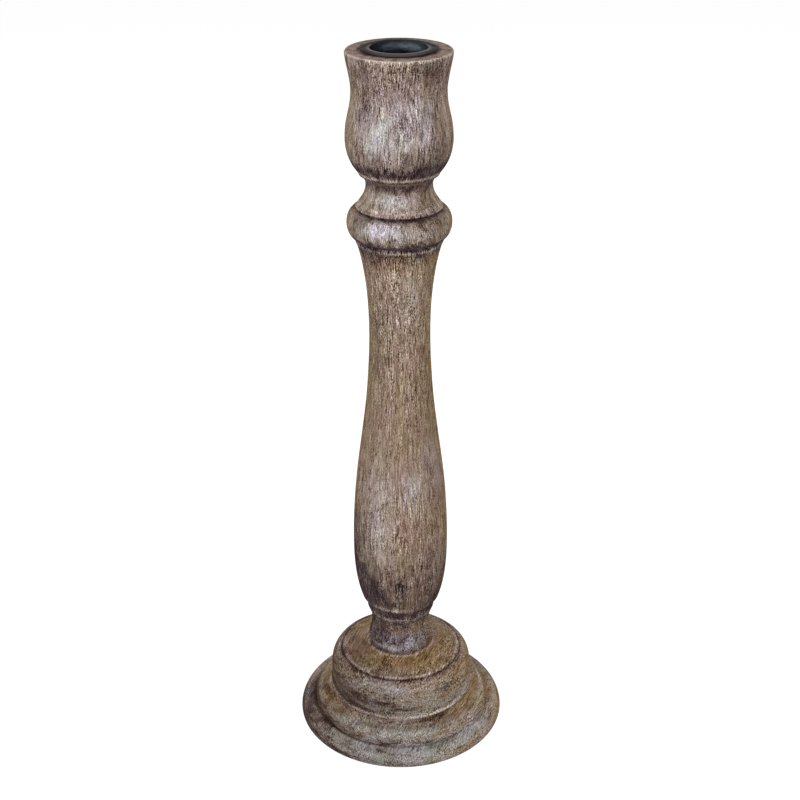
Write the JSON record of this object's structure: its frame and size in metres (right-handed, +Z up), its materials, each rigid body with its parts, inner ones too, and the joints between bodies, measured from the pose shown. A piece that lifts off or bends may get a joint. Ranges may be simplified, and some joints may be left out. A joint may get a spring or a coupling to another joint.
{
  "type": "taper candle holder",
  "caption": "Turned grey-washed wooden candlestick with a stepped round base, baluster stem, beaded collar and a cup with a lift-out metal liner for a taper.",
  "frame": {"origin": "centre of the base's underside, on the table", "axes": "+Z up along the turning axis, towards the candle; the part is the same all round, so +X and +Y are free"},
  "size_m": [0.0938, 0.0938, 0.3099],
  "materials": {
    "column_wood": "grey-washed and antiqued, satin, upright grain",
    "base_wood": "grey-washed and antiqued, satin, flat grain",
    "liner_metal": "dark antiqued steel, satin, worn on the flange",
    "fixing_steel": "zinc-plated"
  },
  "bodies": {
    "stand": {"base_lower": "base_wood", "base_upper": "base_wood", "stem": "column_wood", "collar": "column_wood", "socket_cup": "column_wood", "stem_screw": "fixing_steel", "screw_washer": "fixing_steel"},
    "liner": {"candle_liner": "liner_metal"}
  },
  "joints": [
    {"name": "liner_lift", "type": "slide", "parent": "stand", "child": "liner", "axis": [0, 0, 1], "range_m": [0, 0.03]}
  ]
}
